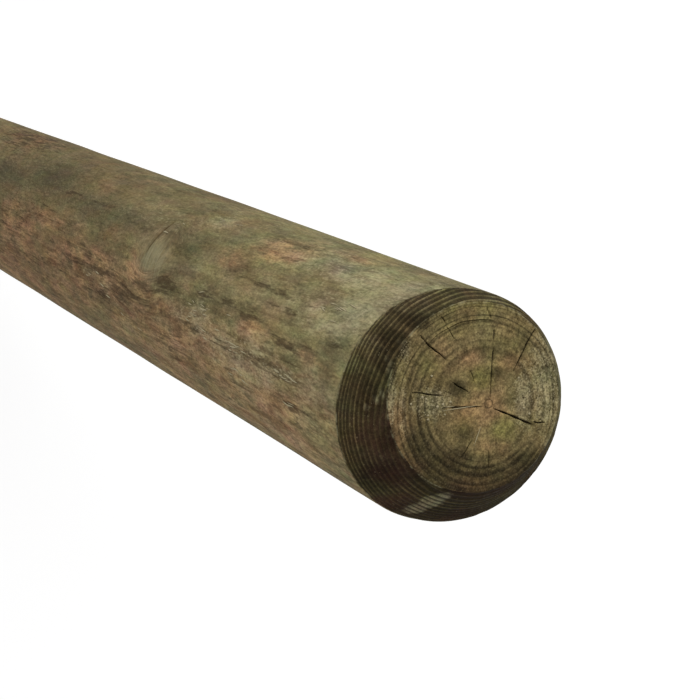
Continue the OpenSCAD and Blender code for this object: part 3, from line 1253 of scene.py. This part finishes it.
def chamfer_material(finish, groups):
    """Turned end grain, soaked dark: light ridges of late wood over dark early wood, and a painted sheen of
    pale streaks along the rings.
    """
    made, s, shader = new_material("Turned chamfer")
    place = s.place()
    dark, warm, pale, green = s.marks()
    rings = s.group(groups["rings"], {"Ring": s.field("ring"), "Place": place})
    weather = s.group(groups["weather"], {"Place": place})
    edge = s.field("edge")
    shader.inputs["Specular IOR Level"].default_value = 0.02
    purple = s.ragged(warm, weather["Cloud"], 1.0)
    mossy = s.ragged(green, weather["Cloud"], 1.0)
    ground = s.blend(purple, finish.chamfer_dark, finish.chamfer_purple)
    ground = s.blend(s.mul(mossy, 0.08), ground, finish.chamfer_olive)
    crest = s.step(s.add(s.mul(rings["Band"], 0.5), s.mul(rings["Late"], 0.5)), 0.12, 0.85)
    ridge = s.mul(crest, s.fade(rings["Tone"], 0.5, 1.0))
    ridge = s.mul(ridge, s.step(weather["Cloud"], 0.33, 0.6, 0.5, 1.0))
    ridge = s.mul(ridge, s.fade(purple, 1.0, 0.3))
    colour = s.blend(ridge, ground, s.blend(mossy, finish.chamfer_light, finish.chamfer_olive))
    colour = s.tint(colour, s.fade(s.ragged(dark, weather["Cloud"], 0.8), 1.25, 0.62))
    # Painted sheen: where the pale marks lie on the chamfer, pale streaks follow the rings to stand for light
    # glancing off it.
    sheen_streaks = s.ragged(pale, weather["Mottle"], 0.8, 1.0, 0.3, 0.8)
    sheen_streaks = s.mul(sheen_streaks, s.step(rings["Band"], 0.0, 0.8, 0.12, 0.55))
    colour = s.blend(sheen_streaks, colour, finish.shaft_pale)
    speckled = s.step(weather["Speck"], 0.3, 0.7, 0.75, 1.25)
    colour = s.tint(colour, s.mul(speckled, s.step(weather["Flake"], 0.3, 0.7, 0.75, 1.25)))
    colour = s.cast(colour, weather["Cast"], 0.5)
    worn = s.mul(s.step(edge, 0.2, 1.2, 1.0, 0.0), s.step(weather["Mottle"], 0.44, 0.6))
    colour = s.blend(s.mul(worn, s.step(dark, 0.8, 1.0, 0.6, 0.04)), colour, finish.shaft_pale)
    sparkle = s.mul(s.step(weather["Speck"], 0.66, 0.74), s.step(weather["Cloud"], 0.45, 0.6, 0.05, 0.5))
    colour = s.blend(sparkle, colour, finish.fibre)
    raised = s.add(s.mul(rings["Late"], 0.8), s.mul(weather["Speck"], 0.5))
    s.give(shader.inputs, {
        "Base Color": colour,
        "Roughness": s.step(weather["Speck"], 0.3, 0.7, 0.55, 0.8),
        "Normal": s.bump(raised, 0.0004),
    })
    return made


def end_material(finish, groups):
    """Sawn end grain: rings that strengthen outwards, a pinkish heart, specks and pits, dark checks."""
    made, s, shader = new_material("Sawn end grain")
    place = s.place()
    dark, warm, pale, green = s.marks()
    ring = s.field("ring")
    rings = s.group(groups["rings"], {"Ring": ring, "Place": place})
    weather = s.group(groups["weather"], {"Place": place})
    colour = s.blend(s.ragged(warm, weather["Cloud"], 1.2), finish.end_tan, finish.end_pink)
    colour = s.blend(s.ragged(green, weather["Cloud"], 1.2, 0.8), colour, finish.end_green)
    colour = s.blend(s.ragged(pale, weather["Mottle"], 1.6, 0.4), colour, finish.shaft_pale)
    colour = s.tint(colour, s.step(weather["Cloud"], 0.35, 0.65, 0.84, 1.14))
    colour = s.tint(colour, s.step(weather["Mottle"], 0.3, 0.7, 0.74, 1.26))
    colour = s.tint(colour, s.fade(s.ragged(dark, weather["Cloud"], 0.8), 1.0, 0.36))
    colour = s.cast(colour, weather["Cast"], 0.25)
    outer = s.step(ring, 3.0, 9.0, 0.3, 1.0)
    late = s.mul(s.mul(rings["Band"], s.fade(rings["Tone"], 0.5, 0.9)), outer)
    late = s.mul(late, s.step(dark, 0.1, 0.7, 0.65, 1.3))
    for middle, half, strength in STRONG_RINGS:
        late = s.most(late, s.step(s.apart(ring, middle), 0.0, half, strength, 0.0))
    late = s.mul(late, s.step(weather["Cloud"], 0.35, 0.6, 0.55, 1.0))
    colour = s.tint(colour, s.step(late, 0.0, 0.9, 1.14, 0.46))
    colour = s.tint(colour, s.step(s.apart(ring, PITH_RING), 0.03, 0.12, 0.5, 1.0))
    coarse = s.swing(weather["Speck"], s.step(pale, 0.0, 0.6, 1.7, 2.8))
    colour = s.tint(colour, s.mul(coarse, s.step(weather["Flake"], 0.3, 0.7, 0.68, 1.32)))
    sparkle = s.mul(s.step(weather["Speck"], 0.57, 0.66), s.step(pale, 0.1, 0.7, 0.08, 0.75))
    colour = s.blend(sparkle, colour, finish.fibre)
    colour = s.blend(s.mul(weather["Pit"], s.step(pale, 0.0, 0.6, 0.3, 0.9)), colour, finish.end_dark)
    crumb = s.mul(s.step(s.field("edge"), 0.3, 1.8, 1.0, 0.0), s.step(weather["Flake"], 0.46, 0.6))
    colour = s.blend(s.mul(crumb, s.step(dark, 0.1, 0.5, 0.4, 0.0)), colour, finish.shaft_pale)
    colour = s.blend(s.step(s.field("check"), 0.08, 0.5), colour, finish.check_dark)
    raised = s.add(s.mul(rings["Late"], 0.6), weather["Speck"])
    s.give(shader.inputs, {
        "Base Color": colour,
        "Roughness": s.step(weather["Speck"], 0.3, 0.7, 0.95, 0.75),
        "Normal": s.bump(raised, 0.0004),
    })
    return made


def fibre_material(finish, groups):
    """Dry torn fibres and slivers."""
    made, s, shader = new_material("Torn fibre")
    place = s.place()
    weather = s.group(groups["weather"], {"Place": place})
    s.give(shader.inputs, {
        "Base Color": s.blend(s.step(weather["Speck"], 0.2, 0.5), finish.shaft_pale, finish.fibre),
        "Roughness": s.step(weather["Speck"], 0.3, 0.7, 0.7, 0.9),
    })
    return made


SHARED_GROUPS = {
    "rings": ("Growth rings", growth_ring_group),
    "fibre": ("Wood fibre", fibre_group),
    "weather": ("Weathering", weather_group),
    "knot": ("Knot", knot_group),
}


def shared_groups():
    """The node groups that the finishes share, made once."""
    made = bpy.data.node_groups
    return {key: made.get(name) or make(name) for key, (name, make) in SHARED_GROUPS.items()}


# Operators

# Half the floor's width and its level, just below the butt's relief, in metres.
FLOOR_HALF, FLOOR_LEVEL = 8.0, -0.0004
SENSOR_WIDTH = 36.0

class OBJECT_OT_pole_timber(bpy.types.Operator):
    """Build the pole's timber: one closed surface with its three finishes"""

    bl_idname = "object.pole_timber"
    bl_label = "Build Timber"

    def execute(self, context):
        scene = context.scene
        mesh = build_pole_mesh(scene.pole_shape)
        finish, groups = scene.pole_finish, shared_groups()
        mesh.materials.append(end_material(finish, groups))
        mesh.materials.append(chamfer_material(finish, groups))
        mesh.materials.append(shaft_material(finish, groups, scene.pole_shape.length))
        timber = bpy.data.objects.new("pole_timber", mesh)
        scene.collection.objects.link(timber)
        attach(timber, "root")
        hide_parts("pole")
        return {"FINISHED"}


class OBJECT_OT_pole_fibres(bpy.types.Operator):
    """Build the torn fibres on the shaft and the slivers on the top flat"""

    bl_idname = "object.pole_fibres"
    bl_label = "Build Torn Fibres"

    def execute(self, context):
        scene = context.scene
        mesh = build_fibre_mesh(scene.pole_shape)
        mesh.materials.append(fibre_material(scene.pole_finish, shared_groups()))
        fibres = bpy.data.objects.new("torn_fibres", mesh)
        scene.collection.objects.link(fibres)
        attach(fibres, "root")
        return {"FINISHED"}


def seen_straight(s):
    """1 for a ray from the camera, a mirror or glass, 0 for one that gathers light."""
    path = s.node("ShaderNodeLightPath").outputs
    return s.most(path["Is Camera Ray"], s.most(path["Is Glossy Ray"], path["Is Transmission Ray"]))


class OBJECT_OT_pole_stage(bpy.types.Operator):
    """Set the floor, the light and the camera"""

    bl_idname = "object.pole_stage"
    bl_label = "Set Stage"

    def execute(self, context):
        scene = context.scene
        stage = scene.pole_stage
        scene.view_settings.view_transform = "Standard"
        self.add_floor(scene)
        self.add_world(scene, stage.ambient)
        self.add_key(scene, stage)
        self.add_camera(scene, stage)
        return {"FINISHED"}

    def add_floor(self, scene):
        signs = ((-1, -1), (1, -1), (1, 1), (-1, 1))
        corners = [(x * FLOOR_HALF, y * FLOOR_HALF, FLOOR_LEVEL) for x, y in signs]
        mesh = bpy.data.meshes.new("floor")
        mesh.from_pydata(corners, [], [(0, 1, 2, 3)])
        made, s, shader = new_material("Pale floor")
        s.give(shader.inputs, {
            "Base Color": (0.9, 0.9, 0.9),
            "Roughness": 1.0,
            "Specular IOR Level": 0.0,
            "Emission Color": (1, 1, 1),
            "Emission Strength": s.mul(seen_straight(s), 0.3),
        })
        mesh.materials.append(made)
        floor = bpy.data.objects.new("floor", mesh)
        scene.collection.objects.link(floor)

    def add_world(self, scene, strength):
        world = bpy.data.worlds.new("Studio")
        scene.world = world
        world.use_nodes = True
        s = Sketch(world.node_tree)
        background = world.node_tree.nodes["Background"]
        background.inputs["Color"].default_value = (1, 1, 1, 1)
        level = s.node("ShaderNodeMapRange", {"Value": seen_straight(s), "To Min": strength, "To Max": 1.0})
        s.join(background.inputs["Strength"], level.outputs[0])

    def add_key(self, scene, stage):
        lamp = bpy.data.lights.new("key", "SUN")
        lamp.energy = stage.key
        lamp.angle = stage.key_spread
        key = bpy.data.objects.new("key", lamp)
        key.rotation_euler = Vector(stage.key_from).to_track_quat("Z", "Y").to_euler()
        scene.collection.objects.link(key)

    def add_camera(self, scene, stage):
        data = bpy.data.cameras.new("camera")
        data.lens = stage.lens
        data.sensor_width = SENSOR_WIDTH
        camera = bpy.data.objects.new("camera", data)
        place, aim = Vector(stage.camera_place), Vector(stage.camera_aim)
        turn = (aim - place).to_track_quat("-Z", "Y") @ Quaternion((0, 0, 1), stage.camera_roll)
        camera.location = place
        camera.rotation_euler = turn.to_euler()
        scene.collection.objects.link(camera)
        scene.camera = camera


class VIEW3D_PT_pine_pole(bpy.types.Panel):
    """Lists the pole's sizes, colours and steps"""

    bl_idname = "VIEW3D_PT_pine_pole"
    bl_label = "Pine Pole"
    bl_space_type = "VIEW_3D"
    bl_region_type = "UI"
    bl_category = "Pine Pole"

    def draw(self, context):
        layout = self.layout
        for operator in (OBJECT_OT_pole_timber, OBJECT_OT_pole_fibres, OBJECT_OT_pole_stage):
            layout.operator(operator.bl_idname)
        for group in (context.scene.pole_shape, context.scene.pole_finish, context.scene.pole_stage):
            box = layout.box()
            for name in group.bl_rna.properties.keys():
                if name not in {"rna_type", "name"}:
                    box.prop(group, name)


CLASSES = (
    PoleShape,
    PoleFinish,
    PoleStage,
    OBJECT_OT_pole_timber,
    OBJECT_OT_pole_fibres,
    OBJECT_OT_pole_stage,
    VIEW3D_PT_pine_pole,
)


def register():
    for cls in CLASSES:
        bpy.utils.register_class(cls)
    bpy.types.Scene.pole_shape = bpy.props.PointerProperty(type=PoleShape)
    bpy.types.Scene.pole_finish = bpy.props.PointerProperty(type=PoleFinish)
    bpy.types.Scene.pole_stage = bpy.props.PointerProperty(type=PoleStage)


def unregister():
    del bpy.types.Scene.pole_stage
    del bpy.types.Scene.pole_finish
    del bpy.types.Scene.pole_shape
    for cls in reversed(CLASSES):
        bpy.utils.unregister_class(cls)


def main():
    register()
    bpy.ops.object.pole_timber()
    bpy.ops.object.pole_fibres()
    bpy.ops.object.pole_stage()


if __name__ == "__main__":
    main()
